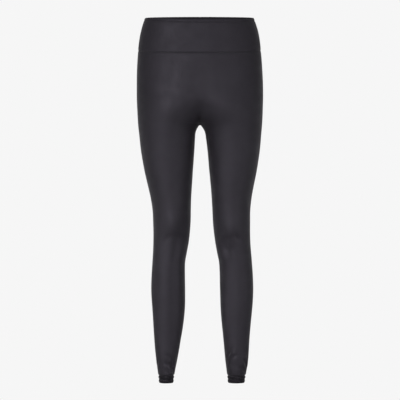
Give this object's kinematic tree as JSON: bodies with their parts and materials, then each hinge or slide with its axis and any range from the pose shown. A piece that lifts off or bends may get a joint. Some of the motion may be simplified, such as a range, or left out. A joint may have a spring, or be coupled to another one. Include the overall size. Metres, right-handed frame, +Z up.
{
  "type": "leggings",
  "caption": "High-rise full-length leggings in smooth stretch knit with a wide waistband and narrow ankle bands, filled out as worn, with open waist, legs and ankles.",
  "frame": {"origin": "middle of the waist opening, at the height of the waist's folded edge, where the wearer's waist holds the garment up", "axes": "+Z up, the front faces -Y, +X towards the wearer's left leg, which is on the viewer's right"},
  "size_m": [0.329, 0.2254, 0.9578],
  "materials": {
    "knit": "smooth matt stretch knit, charcoal, with a faint sheen at its edges",
    "band_knit": "the same knit folded double, charcoal, matt"
  },
  "bodies": {
    "root": {"waistband": "band_knit", "leg_left": "knit", "leg_right": "knit", "ankle_band_left": "band_knit", "ankle_band_right": "band_knit"}
  },
  "joints": []
}
